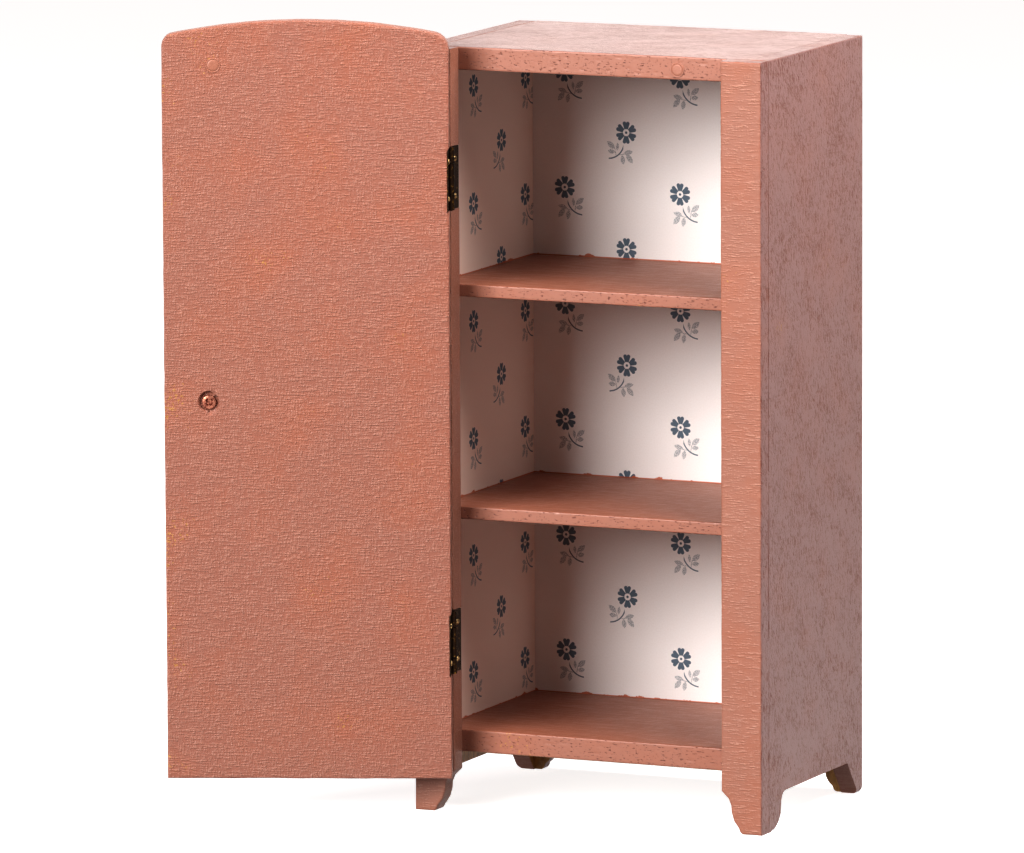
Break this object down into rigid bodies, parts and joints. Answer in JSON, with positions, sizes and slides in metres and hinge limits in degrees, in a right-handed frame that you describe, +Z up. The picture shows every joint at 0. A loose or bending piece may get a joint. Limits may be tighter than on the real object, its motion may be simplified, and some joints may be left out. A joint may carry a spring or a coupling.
{
  "type": "miniature wardrobe",
  "caption": "Dolls' house wardrobe: painted upright cabinet on scrolled feet, papered compartments between shelves, and an arched door on small butt hinges.",
  "frame": {"origin": "centre of the cabinet's footprint, on the surface its feet stand on", "axes": "+Z up, +Y from the doorway to the back panel, +X to the cabinet's right as one faces the doorway"},
  "size_m": [0.1852, 0.1249, 0.2497],
  "materials": {
    "painted_wood": "brush painted, satin, over board",
    "wallpaper": "printed paper glued to the walls",
    "antique_brass": "dark antique plating",
    "painted_magnet": "satin, painted over"
  },
  "bodies": {
    "cabinet": {"left_post": "painted_wood", "right_post": "painted_wood", "left_side_panel": "painted_wood", "right_side_panel": "painted_wood", "back_panel": "painted_wood", "top_board": "painted_wood", "floor_board": "painted_wood", "upper_shelf": "painted_wood", "lower_shelf": "painted_wood", "back_wallpaper": "wallpaper", "left_wallpaper": "wallpaper", "right_wallpaper": "wallpaper", "frame_magnet": "painted_magnet", "upper_hinge_frame_leaf": "antique_brass", "upper_hinge_frame_nails": "antique_brass", "upper_hinge_pin": "antique_brass", "lower_hinge_frame_leaf": "antique_brass", "lower_hinge_frame_nails": "antique_brass", "lower_hinge_pin": "antique_brass"},
    "door": {"door_panel": "painted_wood", "door_magnet": "painted_magnet", "door_knob": "antique_brass", "knob_screw": "antique_brass", "upper_hinge_door_leaf": "antique_brass", "upper_hinge_door_nails": "antique_brass", "lower_hinge_door_leaf": "antique_brass", "lower_hinge_door_nails": "antique_brass"}
  },
  "joints": [
    {"name": "door_swing", "type": "hinge", "parent": "cabinet", "child": "door", "pos_m": [-0.04465, -0.04325, 0.12695], "axis": [0, 0, -1], "range_deg": [-158, 28]}
  ]
}
